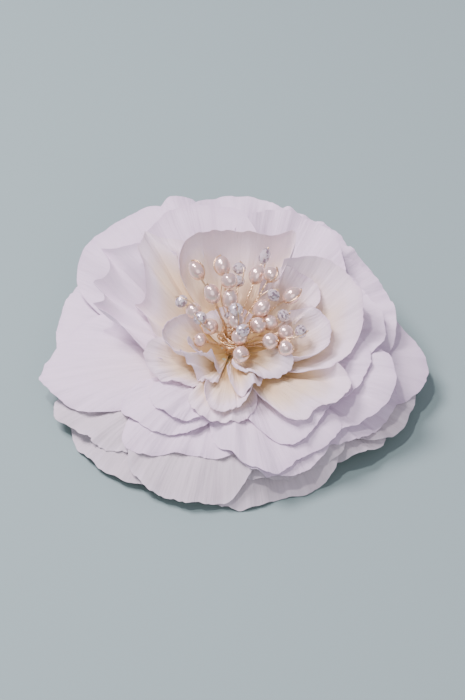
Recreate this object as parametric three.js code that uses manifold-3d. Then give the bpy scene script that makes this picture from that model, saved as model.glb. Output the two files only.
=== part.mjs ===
// A fabric flower hair clip: seven stacked layers of stiffened fabric petals on a hollow hub, a spray of
// pearls and cut crystals on twisted gilt wire in the middle, and a felt-backed steel alligator clip below.
// Millimetres, +Z up, lying face up on its lowest petals. The clip runs along X with its thumb levers at +X.
import * as THREE from "three";
import { mergeVertices } from "three/addons/utils/BufferGeometryUtils.js";
import Module from "manifold-3d";

const wasm = await Module();
wasm.setup();

// ---- Driving dimensions ----
const SPREAD = 1; // how much wider than the listed sizes the petals are cut and the spray fans out
const RISE = 1; // how much higher than the listed heights the rims and the spray stand
const CLEARANCE = 0.3; // between pieces that touch on the real flower
const FABRIC = 0.6; // stiffened petal fabric
const FABRIC_GAP = 0.7; // between two petal layers where they nest
const HUB = { bore: 3.2, wall: 0.8, flangeRadius: 9, flangeThickness: 0.8 };
const FELT_DISC = { radius: 20, thickness: 1 };
const STRAP = { length: 10.4, wing: 6, thickness: 0.8, end: 6 }; // felt strap over the fixed arm
const CLIP = {
  width: 7.6, // of the fixed arm
  steel: 0.7, // sheet thickness
  tipX: -22,
  pivotX: 12,
  leverX: 25, // thumb end of both arms
  opening: 5.2, // between the arms at rest
  pinDrop: 3.1, // from the fixed arm's underside to the pin's axis
  ear: 1.9, // radius of each ear round the pin
};
const PIN = { radius: 0.9, headRadius: 1.5, headThickness: 0.5 };
const SPRING = { wire: 0.3, turns: 3.5, legLength: 8.5 }; // wire is a radius
const FLOOR_TO_CLIP = 0.9;
const STEM_WIRE = 0.35; // radius of a twisted pair of gilt wires
const TRUNK_RADIUS = 1.6; // all the stems bound together in the hub
const BEAD_GAP = 0.35; // between two beads threaded on one stem
const SEGMENTS = 48; // spokes round each petal layer
const RING_STEP = 6.5; // between points along a spoke
const STEEPEST = 2; // limit on how much a slope thickens a layer, measured straight down

// ---- Heights that follow from them ----
const armUnderside = FLOOR_TO_CLIP + CLIP.steel + CLIP.opening;
const pivotZ = armUnderside - CLIP.pinDrop;
const feltZ = armUnderside + CLIP.steel + CLEARANCE;
const flangeZ = feltZ + FELT_DISC.thickness + CLEARANCE;
const firstLayerZ = flangeZ + HUB.flangeThickness + CLEARANCE + FABRIC;
const layerPitch = FABRIC + FABRIC_GAP;

// ---- Materials ----
const paint = (color, roughness, metalness = 0) =>
  new THREE.MeshStandardMaterial({ color, roughness, metalness });
const petalFabric = paint("#f3eff2", 0.85);
const innerFabric = paint("#f2e9da", 0.85);
const feltCloth = paint("#efece6", 0.95);
const hubPlastic = paint("#dfe3cf", 0.5);
const steel = paint("#b9bcc0", 0.3, 1);
const giltWire = paint("#caa267", 0.35, 1);
const pearlNacre = paint("#f1ddd0", 0.25);
const crystalGlass = paint("#e6e8ee", 0.05);

const flower = new THREE.Group();
const addPiece = (name, geometry, material) => {
  const mesh = new THREE.Mesh(geometry, material);
  mesh.name = name;
  flower.add(mesh);
  return mesh;
};

// ---- Solids by boolean ----
// A closed three.js geometry as a manifold-3d solid.
function solid(geometry) {
  const bare = geometry.index ? geometry.toNonIndexed() : geometry.clone();
  bare.deleteAttribute("normal");
  bare.deleteAttribute("uv");
  const merged = mergeVertices(bare, 1e-4);
  return new wasm.Manifold(
    new wasm.Mesh({
      numProp: 3,
      vertProperties: merged.attributes.position.array,
      triVerts: new Uint32Array(merged.index.array),
    }),
  );
}

function geometryOf(manifold) {
  const made = manifold.getMesh();
  const position = new THREE.BufferAttribute(
    new Float32Array(made.vertProperties),
    3,
  );
  return new THREE.BufferGeometry()
    .setAttribute("position", position)
    .setIndex(new THREE.BufferAttribute(new Uint32Array(made.triVerts), 1));
}

const union = (parts) => parts.reduce((whole, part) => whole.add(part));

// A body turned round +Z from a closed profile of [radius, height] points.
const turned = (profile, sides) =>
  new THREE.LatheGeometry(
    profile.map(([r, z]) => new THREE.Vector2(r, z)),
    sides,
  ).rotateX(Math.PI / 2);

// A flat outline of [x, z] points given a width along Y, centred on the given Y.
function plate(outline, width, centreY = 0) {
  const shape = new THREE.Shape(outline.map(([x, z]) => new THREE.Vector2(x, z)));
  return new THREE.ExtrudeGeometry(shape, { depth: width, bevelEnabled: false })
    .translate(0, 0, -width / 2)
    .rotateX(Math.PI / 2)
    .translate(0, centreY, 0);
}

// A cylinder lying along Y.
const bar = (radius, length, x, z, y = 0, sides = 20) =>
  solid(new THREE.CylinderGeometry(radius, radius, length, sides).translate(x, y, z));

// A wire of round section along a curve.
function wireAlong(curve, radius, steps, sides = 6) {
  const section = new THREE.Shape();
  for (let i = 0; i < sides; i++) {
    const turn = (i * 2 * Math.PI) / sides;
    const corner = [radius * Math.cos(turn), radius * Math.sin(turn)];
    if (i === 0) section.moveTo(...corner);
    else section.lineTo(...corner);
  }
  section.closePath();
  return new THREE.ExtrudeGeometry(section, { steps, extrudePath: curve });
}

// ---- Petal layers ----
// Each petal is [azimuth, half width in degrees, reach from the hub axis, height of its rim].
// bow is how far the petals swell above a straight line from hub to rim.
const LAYERS = [
  {
    bow: 4.5,
    petals: [
      [214, 34, 50, 0.6], [283, 38, 46, 0.6], [333, 30, 51, 3.5],
      [22, 30, 54, 0.6], [88, 36, 55, 0.6], [152, 34, 54, 0.6],
    ],
  },
  {
    bow: 4,
    petals: [
      [205, 26, 51, 7], [250, 34, 46, 3.6], [301, 32, 42, 7],
      [350, 30, 55, 6.5], [48, 34, 56, 14], [112, 34, 57, 15],
    ],
  },
  {
    bow: 3,
    petals: [
      [155, 28, 59, 13], [206, 28, 48, 10], [252, 32, 38, 9.5],
      [300, 30, 44, 9], [0, 30, 59, 8.5], [52, 26, 60, 23], [108, 32, 61, 28],
    ],
  },
  {
    bow: 1,
    petals: [
      [187, 30, 57, 10], [238, 28, 36, 13], [290, 32, 42, 10.5],
      [30, 28, 55, 18], [82, 28, 57, 32], [137, 30, 60, 24],
    ],
  },
  {
    bow: -1,
    petals: [
      [338, 32, 48, 17], [56, 30, 50, 32], [110, 30, 47, 37],
      [160, 30, 46, 26], [228, 32, 36, 15], [292, 28, 35, 17],
    ],
  },
  {
    bow: -2,
    petals: [
      [12, 40, 40, 31.5], [85, 34, 35, 39], [148, 32, 34, 31],
      [205, 28, 26, 21], [262, 30, 27, 18.5], [322, 26, 38, 23],
    ],
  },
  {
    bow: -2.5,
    petals: [
      [182, 28, 21.5, 28], [228, 28, 16.5, 25], [272, 26, 22, 20],
      [310, 28, 19, 22], [355, 26, 27, 28], [32, 28, 25, 33], [95, 40, 20, 29],
    ],
  },
];
const VALLEY = 0.26; // share of its reach that a petal loses where the next one starts
const layerHoleRadius = HUB.bore + HUB.wall + CLEARANCE;

// Degrees from a petal's middle, in half widths.
function offset(azimuth, [middle, half]) {
  const turn = ((azimuth - middle + 540) % 360) - 180;
  return Math.abs(turn) / half;
}

const rimReach = (layer, azimuth) =>
  Math.max(
    ...layer.petals.map((petal) => {
      const d = offset(azimuth, petal);
      return SPREAD * petal[2] * (1 - VALLEY * Math.min(d, 1.35) ** 3);
    }),
  );

function rimHeight(layer, azimuth) {
  let sum = 0;
  let weights = 0;
  for (const petal of layer.petals) {
    const weight = Math.exp(-3 * offset(azimuth, petal) ** 2);
    sum += weight * petal[3] * RISE;
    weights += weight;
  }
  return sum / weights;
}

// The rings of every layer stand at the same radii, so that stacked layers meet face to face.
function spokeRadii(index, azimuth) {
  const reach = rimReach(LAYERS[index], azimuth);
  const rings = Math.max(1, Math.round((reach - layerHoleRadius) / RING_STEP));
  const radii = Array.from({ length: rings }, (_, k) => layerHoleRadius + k * RING_STEP);
  return [...radii, reach];
}

// The height of a layer's upper face by its own shape, before the stack below lifts it.
function ownHeight(index, azimuth, radius) {
  const layer = LAYERS[index];
  const hub = firstLayerZ + index * layerPitch;
  const reach = rimReach(layer, azimuth);
  const s = (radius - layerHoleRadius) / (reach - layerHoleRadius);
  const swell = layer.bow * 4 * s * (1 - s);
  return hub + (rimHeight(layer, azimuth) - hub) * s + swell;
}

// The height of a spoke at a radius, running straight on past its rim.
function heightAt(spoke, radius) {
  const past = spoke.findIndex((point) => point.radius >= radius);
  const next = past < 0 ? spoke.length - 1 : Math.max(past, 1);
  const from = spoke[next - 1];
  const to = spoke[next];
  const share = (radius - from.radius) / (to.radius - from.radius);
  return from.top + (to.top - from.top) * share;
}

// How much taller than its thickness a sloping layer is, measured straight down.
function steepness(spokes, i, radius) {
  const beside = spokes[(i + 1) % SEGMENTS];
  const before = spokes[(i + SEGMENTS - 1) % SEGMENTS];
  const here = spokes[i];
  const along = (heightAt(here, radius + 1) - heightAt(here, radius - 1)) / 2;
  const arc = (radius * 4 * Math.PI) / SEGMENTS;
  const across = (heightAt(beside, radius) - heightAt(before, radius)) / arc;
  return Math.min(STEEPEST, Math.sqrt(1 + along * along + across * across));
}

// What the first layer must clear: the hub's flange, then the felt disc, then the table.
function supportHeight(radius) {
  if (radius < HUB.flangeRadius + RING_STEP)
    return flangeZ + HUB.flangeThickness + CLEARANCE;
  if (radius < FELT_DISC.radius + RING_STEP)
    return feltZ + FELT_DISC.thickness + CLEARANCE;
  return 0;
}

// The lowest level a layer's underside can take at a point, on top of the layer below.
function floorHeight(below, i, radius) {
  if (!below) return supportHeight(radius);
  const rimOf = (spoke) => spoke[spoke.length - 1].radius;
  const under = [below[i]];
  const beside = [below[(i + 1) % SEGMENTS], below[(i + SEGMENTS - 1) % SEGMENTS]];
  for (const spoke of beside)
    if (radius > rimOf(below[i]) && radius <= rimOf(spoke) + RING_STEP)
      under.push(spoke);
  const levels = under
    .filter((spoke) => radius <= rimOf(spoke) + RING_STEP)
    .map((spoke) => heightAt(spoke, radius));
  return Math.max(0, ...levels) + FABRIC_GAP * steepness(below, i, radius);
}

// All the spokes of a layer, laid over the layer below: each point has a radius, top and bottom.
function layLayer(index, below) {
  const spokes = Array.from({ length: SEGMENTS }, (_, i) => {
    const azimuth = (i * 360) / SEGMENTS;
    return spokeRadii(index, azimuth).map((radius) => {
      const floor = floorHeight(below, i, radius);
      const top = Math.max(ownHeight(index, azimuth, radius), floor + FABRIC);
      return { radius, top, floor };
    });
  });
  spokes.forEach((spoke, i) => {
    for (const point of spoke) {
      const thickness = FABRIC * steepness(spokes, i, point.radius);
      point.bottom = Math.max(point.top - thickness, point.floor);
    }
  });
  return spokes;
}

// A lobed dish with a round hole, closed between its upper and lower faces.
// Spokes with fewer rings end at their rim, where the outer rings of longer spokes run together.
function petalLayer(spokes) {
  const points = [];
  const corners = spokes.map((spoke, i) => {
    const turn = (i * 2 * Math.PI) / SEGMENTS;
    return spoke.map(({ radius, top, bottom }) => {
      const x = radius * Math.cos(turn);
      const y = radius * Math.sin(turn);
      points.push(x, y, top, x, y, bottom);
      return points.length / 3 - 2;
    });
  });
  const faces = [];
  const triangle = (a, b, c) => {
    if (a !== b && b !== c && c !== a) faces.push(a, b, c);
  };
  corners.forEach((here, i) => {
    const beside = corners[(i + 1) % SEGMENTS];
    const rings = Math.max(here.length, beside.length) - 1;
    const at = (spoke, j) => spoke[Math.min(j, spoke.length - 1)];
    for (let j = 0; j < rings; j++) {
      const [a, b] = [at(here, j), at(here, j + 1)];
      const [c, d] = [at(beside, j + 1), at(beside, j)];
      triangle(a, b, c);
      triangle(a, c, d);
      triangle(a + 1, c + 1, b + 1);
      triangle(a + 1, d + 1, c + 1);
    }
    for (const [a, b] of [
      [at(beside, 0), at(here, 0)],
      [at(here, rings), at(beside, rings)],
    ]) {
      triangle(a, a + 1, b + 1);
      triangle(a, b + 1, b);
    }
  });
  return new THREE.BufferGeometry()
    .setAttribute("position", new THREE.Float32BufferAttribute(points, 3))
    .setIndex(faces);
}

let laid = null;
LAYERS.forEach((layer, index) => {
  laid = layLayer(index, laid);
  const cloth = index < 5 ? petalFabric : innerFabric;
  addPiece(`petal_layer_${index + 1}`, petalLayer(laid), cloth);
});

// ---- Hub and felt ----
// The hub is a flanged tube, closed at the bottom: the petal layers are threaded onto it.
const hubTop = firstLayerZ + (LAYERS.length - 1) * layerPitch;
const hubFloor = flangeZ + HUB.flangeThickness;
const tubeRadius = HUB.bore + HUB.wall;
addPiece(
  "hub",
  turned(
    [
      [0, flangeZ],
      [HUB.flangeRadius, flangeZ],
      [HUB.flangeRadius, hubFloor],
      [tubeRadius, hubFloor],
      [tubeRadius, hubTop],
      [HUB.bore, hubTop],
      [HUB.bore, hubFloor],
      [0, hubFloor],
    ],
    32,
  ),
  hubPlastic,
);
addPiece(
  "felt_disc",
  turned(
    [
      [0, feltZ],
      [FELT_DISC.radius, feltZ],
      [FELT_DISC.radius, feltZ + FELT_DISC.thickness],
      [0, feltZ + FELT_DISC.thickness],
    ],
    40,
  ),
  feltCloth,
);

// The strap passes under the fixed arm and its wings are glued to the felt disc beside the arm.
const strapInside = CLIP.width / 2 + CLEARANCE;
const strapOutside = strapInside + STRAP.thickness;
const strapTop = feltZ - CLEARANCE;
const strapUnderArm = armUnderside - CLEARANCE;
const strapHalf = [
  [strapOutside, strapUnderArm - STRAP.thickness],
  [strapOutside, strapTop - STRAP.thickness],
  [strapOutside + STRAP.wing, strapTop - STRAP.thickness],
  [strapOutside + STRAP.wing, strapTop],
  [strapInside, strapTop],
  [strapInside, strapUnderArm],
];
const mirrored = strapHalf.map(([y, z]) => [-y, z]).reverse();
addPiece(
  "felt_strap",
  plate([...strapHalf, ...mirrored], STRAP.length)
    .rotateZ(Math.PI / 2)
    .translate(STRAP.end - STRAP.length / 2, 0, 0),
  feltCloth,
);

// ---- Alligator clip ----
const box = (x0, x1, z0, z1) => [
  [x0, z0],
  [x1, z0],
  [x1, z1],
  [x0, z1],
];
const pinHole = bar(PIN.radius + CLEARANCE, CLIP.width * 2, CLIP.pivotX, pivotZ);

// An arm: its strip of steel and two ears at the strip's edges, drilled for the pin.
function clipArm(outline, width, earFrom, earTo) {
  const earY = (width - CLIP.steel) / 2;
  const ears = [-earY, earY].flatMap((y) => [
    bar(CLIP.ear, CLIP.steel, CLIP.pivotX, pivotZ, y),
    solid(
      plate(
        box(CLIP.pivotX - CLIP.ear, CLIP.pivotX + CLIP.ear, earFrom, earTo),
        CLIP.steel,
        y,
      ),
    ),
  ]);
  return geometryOf(
    union([solid(plate(outline, width)), ...ears]).subtract(pinHole),
  );
}

addPiece(
  "clip_fixed_arm",
  clipArm(
    box(CLIP.tipX, CLIP.leverX, armUnderside, armUnderside + CLIP.steel),
    CLIP.width,
    pivotZ,
    armUnderside + CLIP.steel / 2,
  ),
  steel,
);

// The moving arm lies flat below the fixed one and its tip turns up to grip.
const movingWidth = CLIP.width - 2 * (CLIP.steel + CLEARANCE);
const movingTop = FLOOR_TO_CLIP + CLIP.steel;
const gripTop = armUnderside - CLEARANCE;
const gripStart = CLIP.tipX + 2.2;
const slopeEnd = CLIP.tipX + 5.5;
addPiece(
  "clip_moving_arm",
  clipArm(
    [
      [slopeEnd, FLOOR_TO_CLIP],
      [CLIP.leverX, FLOOR_TO_CLIP],
      [CLIP.leverX, movingTop],
      [slopeEnd + CLIP.steel * 0.5, movingTop],
      [gripStart + CLIP.steel * 0.5, gripTop],
      [CLIP.tipX, gripTop],
      [CLIP.tipX, gripTop - CLIP.steel],
      [gripStart - CLIP.steel * 0.5, gripTop - CLIP.steel],
    ],
    movingWidth,
    movingTop - CLIP.steel / 2,
    pivotZ,
  ),
  steel,
);

const pinLength = CLIP.width + 2 * CLEARANCE;
const headY = (pinLength + PIN.headThickness) / 2;
addPiece(
  "clip_pin",
  geometryOf(
    union([
      bar(PIN.radius, pinLength + PIN.headThickness, CLIP.pivotX, pivotZ),
      bar(PIN.headRadius, PIN.headThickness, CLIP.pivotX, pivotZ, -headY),
      bar(PIN.headRadius, PIN.headThickness, CLIP.pivotX, pivotZ, headY),
    ]),
  ),
  steel,
);

// The spring is wound round the pin and its two legs push the thumb levers apart.
const coilRadius = PIN.radius + CLEARANCE + SPRING.wire;
const coilHalf = movingWidth / 2 - CLIP.steel - CLEARANCE - SPRING.wire;
const legX = CLIP.pivotX + SPRING.legLength;
const legOffset = CLEARANCE + SPRING.wire;
const coilPoints = [new THREE.Vector3(legX, -coilHalf, armUnderside - legOffset)];
const coilSteps = Math.round(SPRING.turns * 8);
for (let i = 0; i <= coilSteps; i++) {
  const turn = Math.PI / 2 + (i / coilSteps) * SPRING.turns * 2 * Math.PI;
  coilPoints.push(
    new THREE.Vector3(
      CLIP.pivotX + coilRadius * Math.cos(turn),
      coilHalf * ((2 * i) / coilSteps - 1),
      pivotZ + coilRadius * Math.sin(turn),
    ),
  );
}
coilPoints.push(new THREE.Vector3(legX, coilHalf, movingTop + legOffset));
addPiece(
  "clip_spring",
  wireAlong(
    new THREE.CatmullRomCurve3(coilPoints, false, "centripetal"),
    SPRING.wire,
    84,
  ),
  steel,
);

// ---- Spray of pearls and crystals ----
// Beads are [radius, half length]; a stem lists its beads from its tip inwards.
const BEADS = {
  pearl: [2.45, 2.35],
  small_pearl: [2, 1.9],
  oval_pearl: [2.4, 3.1],
  crystal: [2.1, 1.8],
  rondelle: [2.1, 1.3],
  long_crystal: [1.7, 2.6],
};
const STEMS = [
  { tip: [-10.5, 15, 38], beads: ["oval_pearl"] },
  { tip: [-6, 6.5, 36.5], beads: ["oval_pearl"] },
  { tip: [-3, 18, 37], beads: ["oval_pearl"] },
  { tip: [2, 18, 36], beads: ["crystal", "crystal"] },
  { tip: [-1, 9, 39.5], beads: ["pearl", "oval_pearl", "rondelle"] },
  { tip: [1, -0.5, 37], beads: ["crystal", "pearl"] },
  { tip: [3, -4.8, 32.6], beads: ["crystal", "pearl"] },
  { tip: [-15, 7, 33], beads: ["crystal", "pearl"] },
  { tip: [-9.5, 0.5, 32.5], beads: ["crystal", "pearl"] },
  { tip: [-9.5, -1.5, 25.5], beads: ["small_pearl"] },
  { tip: [9.5, 20, 39], beads: ["long_crystal", "oval_pearl"] },
  { tip: [11.5, 12.5, 38.5], beads: ["pearl"] },
  { tip: [12, 7.5, 35], beads: ["crystal", "oval_pearl"] },
  { tip: [17.5, 9.5, 33], beads: ["oval_pearl"] },
  { tip: [15, 4, 30], beads: ["crystal", "pearl"] },
  { tip: [7.5, 0, 30], beads: ["pearl"] },
  { tip: [20, -1.5, 29], beads: ["crystal", "pearl"] },
  { tip: [11, -5, 28.5], beads: ["pearl"] },
  { tip: [15.5, -6, 26.5], beads: ["pearl"] },
  { tip: [2.5, -8, 26], beads: ["pearl"] },
];
const beadBore = STEM_WIRE + CLEARANCE;
const KNOT = 0.9; // wire left standing past each stem's last bead

function pearlShape([radius, halfLength]) {
  const arcs = 6;
  const start = Math.asin(beadBore / radius);
  const profile = [];
  for (let i = 0; i <= arcs; i++) {
    const t = start + ((Math.PI - 2 * start) * i) / arcs;
    profile.push([radius * Math.sin(t), -halfLength * Math.cos(t)]);
  }
  return turned([...profile, profile[0]], 10);
}

// A faceted bead: two cut cones that meet at a sharp girdle.
function crystalShape([radius, halfLength]) {
  const profile = [
    [beadBore, -halfLength],
    [radius * 0.6, -halfLength],
    [radius, 0],
    [radius * 0.6, halfLength],
    [beadBore, halfLength],
    [beadBore, -halfLength],
  ];
  return turned(profile, 8);
}

const UP = new THREE.Vector3(0, 0, 1);
const counts = {};
const stems = [
  solid(
    new THREE.CylinderGeometry(TRUNK_RADIUS, TRUNK_RADIUS, 1, 12)
      .rotateX(Math.PI / 2)
      .scale(1, 1, hubTop + CLEARANCE - hubFloor)
      .translate(0, 0, (hubTop + CLEARANCE + hubFloor) / 2 + CLEARANCE),
  ),
];
for (const { tip, beads } of STEMS) {
  const end = new THREE.Vector3(...tip).multiply(new THREE.Vector3(SPREAD, SPREAD, RISE));
  const side = new THREE.Vector3(end.x, end.y, 0).setLength(TRUNK_RADIUS - STEM_WIRE);
  const base = side.setZ(hubTop - CLEARANCE);
  const bend = base.clone().addScaledVector(UP, 0.3 * end.distanceTo(base));
  const along = end.clone().sub(bend).normalize();
  const turn = new THREE.Quaternion().setFromUnitVectors(UP, along);
  let reach = BEADS[beads[0]][1];
  for (const kind of beads) {
    const centre = end.clone().addScaledVector(along, reach - 2 * BEADS[kind][1]);
    reach -= 2 * BEADS[kind][1] + BEAD_GAP;
    centre.addScaledVector(along, BEADS[kind][1]);
    const isPearl = kind.endsWith("pearl");
    const shape = isPearl ? pearlShape(BEADS[kind]) : crystalShape(BEADS[kind]);
    const family = isPearl ? "pearl" : "crystal";
    counts[family] = (counts[family] ?? 0) + 1;
    addPiece(
      `${family}_${counts[family]}`,
      shape.applyQuaternion(turn).translate(centre.x, centre.y, centre.z),
      isPearl ? pearlNacre : crystalGlass,
    );
  }
  const neck = end.clone().addScaledVector(along, reach);
  const knot = end.clone().addScaledVector(along, BEADS[beads[0]][1] + KNOT);
  const path = new THREE.CurvePath();
  path.add(new THREE.QuadraticBezierCurve3(base, bend, neck));
  path.add(new THREE.LineCurve3(neck, knot));
  stems.push(solid(wireAlong(path, STEM_WIRE, 12)));
}
addPiece("spray_wire", geometryOf(union(stems)), giltWire);

// The origin is the middle of the bottom of the whole clip's bounding box.
const bounds = new THREE.Box3().setFromObject(flower);
const middle = bounds.getCenter(new THREE.Vector3());
flower.position.set(-middle.x, -middle.y, -bounds.min.z);

export default flower;
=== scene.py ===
"""A fabric flower hair clip: seven layers of heat-formed white petals round a spray of freshwater
pearls and cut crystals on twisted gilt wire, with a felt-backed steel alligator clip below.
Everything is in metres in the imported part's frame; petals and stems are laid out in millimetres
from the hub's axis."""

import math
from typing import NamedTuple

import bmesh
import bpy
import numpy as np
from mathutils import Matrix, Vector, noise
from mathutils.bvhtree import BVHTree


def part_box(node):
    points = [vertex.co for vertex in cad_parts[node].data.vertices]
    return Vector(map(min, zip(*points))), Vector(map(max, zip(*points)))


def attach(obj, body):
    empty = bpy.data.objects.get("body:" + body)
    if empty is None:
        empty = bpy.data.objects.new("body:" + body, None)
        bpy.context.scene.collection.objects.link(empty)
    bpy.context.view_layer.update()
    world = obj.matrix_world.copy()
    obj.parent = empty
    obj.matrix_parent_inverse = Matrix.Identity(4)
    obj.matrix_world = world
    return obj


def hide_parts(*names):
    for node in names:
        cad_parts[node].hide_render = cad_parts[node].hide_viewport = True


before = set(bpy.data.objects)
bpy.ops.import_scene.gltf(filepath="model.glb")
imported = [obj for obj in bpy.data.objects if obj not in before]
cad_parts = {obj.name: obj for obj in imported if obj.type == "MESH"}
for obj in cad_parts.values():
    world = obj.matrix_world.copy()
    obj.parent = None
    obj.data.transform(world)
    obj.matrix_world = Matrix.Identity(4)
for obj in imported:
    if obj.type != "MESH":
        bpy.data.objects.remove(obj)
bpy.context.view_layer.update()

MM = 0.001
UP = Vector((0, 0, 1))
BODY = "flower"  # everything but the clip's moving arm
ARM = "moving_arm"


def node_box(node_name):
    """A CAD node's lowest and highest corners."""
    return [Vector(corner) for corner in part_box(node_name)]


# ---------------------------------------------------------------- places taken from the frame
hub_low, hub_high = node_box("hub")
AXIS = Vector(((hub_low.x + hub_high.x) / 2, (hub_low.y + hub_high.y) / 2, 0))
HUB_TOP = hub_high.z
FIRST_LAYER = hub_low.z + 1.6 * MM  # upper face of the bottom layer where it meets the hub
LAYERS = 7
LOWER_LAYERS = 2  # of the ivory cloth greyed with painted shade, flat on the table
WHITE_LAYERS = 5  # up to here the cloth is white, and above it cream, with painted shade and bounce light deepening its foot to tan


# ---------------------------------------------------------------- materials
def linear(hex_colour):
    """An sRGB hex colour as linear RGBA."""
    values = [int(hex_colour[i : i + 2], 16) / 255 for i in (1, 3, 5)]
    return [v / 12.92 if v <= 0.04045 else ((v + 0.055) / 1.055) ** 2.4 for v in values] + [1]


def spaced(mm):
    """The scale of a pattern on Object coordinates whose marks are this many millimetres apart."""
    return 1 / (mm * MM)


def new_material(name, values):
    """A Principled material; returns it with its node tree and shader."""
    material = bpy.data.materials.new(name)
    material.use_nodes = True
    tree = material.node_tree
    shader = tree.nodes["Principled BSDF"]
    for key, value in values.items():
        shader.inputs[key].default_value = value
    return material, tree, shader


def join(tree, made, links):
    """Links output sockets to a node's inputs."""
    for key, socket in links.items():
        tree.links.new(socket, made.inputs[key])


def node(tree, kind, links=None, values=None, settings=None, stops=()):
    """Adds a node with its links, its inputs' values, its settings and, on a colour ramp, its
    (position, sRGB hex) stops."""
    made = tree.nodes.new(kind)
    for key, value in (settings or {}).items():
        setattr(made, key, value)
    for key, value in (values or {}).items():
        made.inputs[key].default_value = value
    join(tree, made, links or {})
    if stops:
        elements = made.color_ramp.elements
        while len(elements) < len(stops):
            elements.new(0.5)
        for element, (position, colour) in zip(elements, stops):
            element.position = position
            element.color = linear(colour)
    return made


VEINS = (34.0, 2.2, 1.0)  # across and along a petal about 50 mm wide: veins 1.5 mm apart
RIBS = (95.0, 9.0, 1.0)  # between the veins, 0.5 mm apart


def petal_cloth(name, centre, middle, rim, edge, fade=0.56, vein=0.95):
    """Stiffened polyester petal cloth: matt and softly translucent, pressed with faint radial
    veins. It is tinted from the foot to the rim, with the middle tint at fade; the tints are partly
    the cloth's own colour and partly painted shade and bounce light where the petals overlap and
    round the hub. vein is the brightness of its veins, whose darkening is painted shade of their
    pressed relief."""
    material, tree, shader = new_material(
        name,
        {
            "Roughness": 0.72,
            "Subsurface Weight": 0.12,
            "Subsurface Radius": (1.0, 0.92, 0.85),
            "Subsurface Scale": 0.0012,
            "Sheen Weight": 0.15,
            "Sheen Roughness": 0.5,
            "Specular IOR Level": 0.3,
        },
    )
    # UV x runs across a petal, and y from 0 at its foot to 1 at its rim
    uv = node(tree, "ShaderNodeUVMap", settings={"uv_map": "petal"}).outputs["UV"]
    split = node(tree, "ShaderNodeSeparateXYZ", {"Vector": uv})
    # a soft mottle stops the tint and its painted shade ending in a ring
    mottle = node(tree, "ShaderNodeTexNoise", {"Vector": uv}, {"Scale": 3.5, "Detail": 3.0})
    drift = node(
        tree,
        "ShaderNodeMath",
        {0: mottle.outputs["Fac"], 2: split.outputs["Y"]},
        {1: 0.3},
        {"operation": "MULTIPLY_ADD"},
    )
    scaled = node(
        tree, "ShaderNodeMath", {0: drift.outputs["Value"]}, {1: 0.8}, {"operation": "MULTIPLY"}
    )
    # the tint carries painted shade and bounce light as well as the cloth's own colour
    tint_and_painted_shade = node(
        tree,
        "ShaderNodeValToRGB",
        {"Fac": scaled.outputs["Value"]},
        stops=[
            (fade - 0.32, centre),
            (fade, middle),
            (fade + 0.2, rim),
            (0.89, rim),
            (0.96, edge),
        ],
    )
    stretch = node(tree, "ShaderNodeMapping", {"Vector": uv}, {"Scale": VEINS})
    veins = node(
        tree,
        "ShaderNodeTexNoise",
        {"Vector": stretch.outputs["Vector"]},
        {"Scale": 1.0, "Detail": 2.0},
    )
    shade = node(
        tree,
        "ShaderNodeMapRange",
        {"Value": veins.outputs["Fac"]},
        {"From Min": 0.3, "From Max": 0.7, "To Min": vein, "To Max": 1.0},
    )
    tinted = node(
        tree,
        "ShaderNodeVectorMath",
        {0: tint_and_painted_shade.outputs["Color"], "Scale": shade.outputs["Result"]},
        settings={"operation": "SCALE"},
    )
    pressed = node(
        tree,
        "ShaderNodeBump",
        {"Height": veins.outputs["Fac"]},
        {"Strength": 0.6, "Distance": 0.6 * MM},
    )
    narrow = node(tree, "ShaderNodeMapping", {"Vector": uv}, {"Scale": RIBS})
    ribs = node(
        tree,
        "ShaderNodeTexNoise",
        {"Vector": narrow.outputs["Vector"]},
        {"Scale": 1.0, "Detail": 3.0, "Roughness": 0.6, "Distortion": 0.6},
    )
    relief = node(
        tree,
        "ShaderNodeBump",
        {"Height": ribs.outputs["Fac"], "Normal": pressed.outputs["Normal"]},
        {"Strength": 0.5, "Distance": 0.2 * MM},
    )
    # the weave is about 0.2 mm, drawn at 0.4 mm so that it still shows
    place = node(tree, "ShaderNodeTexCoord").outputs["Object"]
    weave = node(
        tree, "ShaderNodeTexNoise", {"Vector": place}, {"Scale": spaced(0.4), "Detail": 1.0}
    )
    fine = node(
        tree,
        "ShaderNodeBump",
        {"Height": weave.outputs["Fac"], "Normal": relief.outputs["Normal"]},
        {"Strength": 0.12, "Distance": 0.1 * MM},
    )
    join(
        tree,
        shader,
        {"Base Color": tinted.outputs["Vector"], "Normal": fine.outputs["Normal"]},
    )
    return material


def pressed_felt():
    """Pressed wool-blend felt: matt and hairy, with fibres matted about 0.6 mm apart."""
    material, tree, shader = new_material(
        "pressed_white_felt", {"Roughness": 0.95, "Sheen Weight": 0.4}
    )
    place = node(tree, "ShaderNodeTexCoord").outputs["Object"]
    fibres = node(
        tree,
        "ShaderNodeTexNoise",
        {"Vector": place},
        {"Scale": spaced(0.556), "Detail": 4.0, "Distortion": 1.5},
    )
    colour = node(
        tree,
        "ShaderNodeValToRGB",
        {"Fac": fibres.outputs["Fac"]},
        stops=[(0.3, "#DAD6CC"), (0.7, "#F0EDE6")],
    )
    bump = node(
        tree,
        "ShaderNodeBump",
        {"Height": fibres.outputs["Fac"]},
        {"Strength": 0.6, "Distance": 0.2 * MM},
    )
    join(tree, shader, {"Base Color": colour.outputs["Color"], "Normal": bump.outputs["Normal"]})
    return material


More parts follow.
